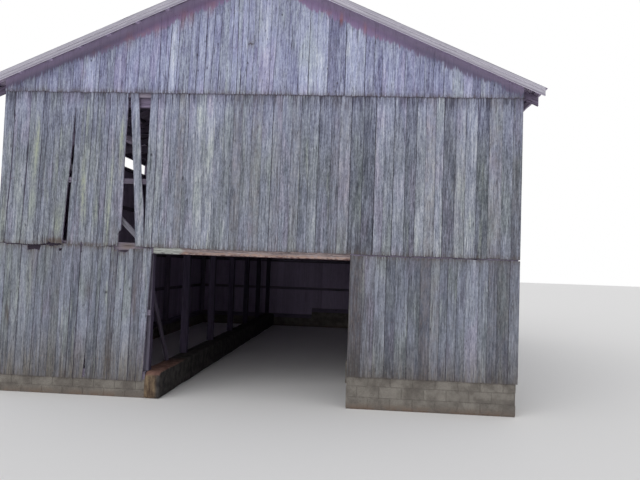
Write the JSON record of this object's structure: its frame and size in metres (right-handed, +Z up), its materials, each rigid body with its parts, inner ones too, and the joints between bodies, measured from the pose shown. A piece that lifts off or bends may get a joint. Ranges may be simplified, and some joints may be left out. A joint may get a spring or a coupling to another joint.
{
  "type": "timber-framed drive-through barn with board siding",
  "caption": "Weathered gabled barn: timber frame on a low concrete foundation, vertical board siding with gaps, an open wagon doorway and a crimped metal roof.",
  "frame": {"origin": "on the ground, under the middle of the barn's roof outline", "axes": "+X to the right seen from the front, +Y along the drive from the front gable wall to the back one, +Z up"},
  "size_m": [10.4524, 15.28, 8.1458],
  "materials": {
    "concrete": "rough, stained concrete",
    "curb": "rough, earth-stained timber",
    "frame_timber": "rough-sawn, dark with age",
    "girt_timber": "rough-sawn, brown",
    "roof_metal": "dull galvanised sheet, streaked with rust",
    "rake_wood": "weathered grey, unpainted",
    "siding_boards": "weathered silver grey, remnants of red paint under the rakes"
  },
  "bodies": {
    "root": {"foundation_front_left": "concrete", "foundation_front_right": "concrete", "foundation_left": "concrete", "foundation_right": "concrete", "foundation_back": "concrete", "post_footings": "concrete", "drive_curb": "curb", "sills_end": "frame_timber", "sills_side": "frame_timber", "door_posts": "frame_timber", "door_header": "frame_timber", "wall_posts": "frame_timber", "drive_posts": "frame_timber", "tie_beams": "frame_timber", "queen_posts": "frame_timber", "roof_plates": "frame_timber", "knee_braces": "frame_timber", "wind_braces": "frame_timber", "gable_studs": "frame_timber", "rafters_left": "frame_timber", "rafters_right": "frame_timber", "girts_front": "girt_timber", "girts_back": "girt_timber", "girts_left": "girt_timber", "girts_right": "girt_timber", "purlins": "girt_timber", "roof_sheets_left": "roof_metal", "roof_sheets_right": "roof_metal", "ridge_cap": "roof_metal", "rake_boards_left": "rake_wood", "rake_boards_right": "rake_wood", "siding_lower_left": "siding_boards", "siding_lower_right": "siding_boards", "siding_middle_left": "siding_boards", "siding_middle_centre": "siding_boards", "loose_board": "siding_boards", "siding_middle_right": "siding_boards", "siding_gable_front": "siding_boards", "siding_back_lower": "siding_boards", "siding_back_middle": "siding_boards", "siding_gable_back": "siding_boards", "siding_left_lower": "siding_boards", "siding_left_upper": "siding_boards", "siding_right_lower": "siding_boards", "siding_right_upper": "siding_boards"}
  },
  "joints": []
}
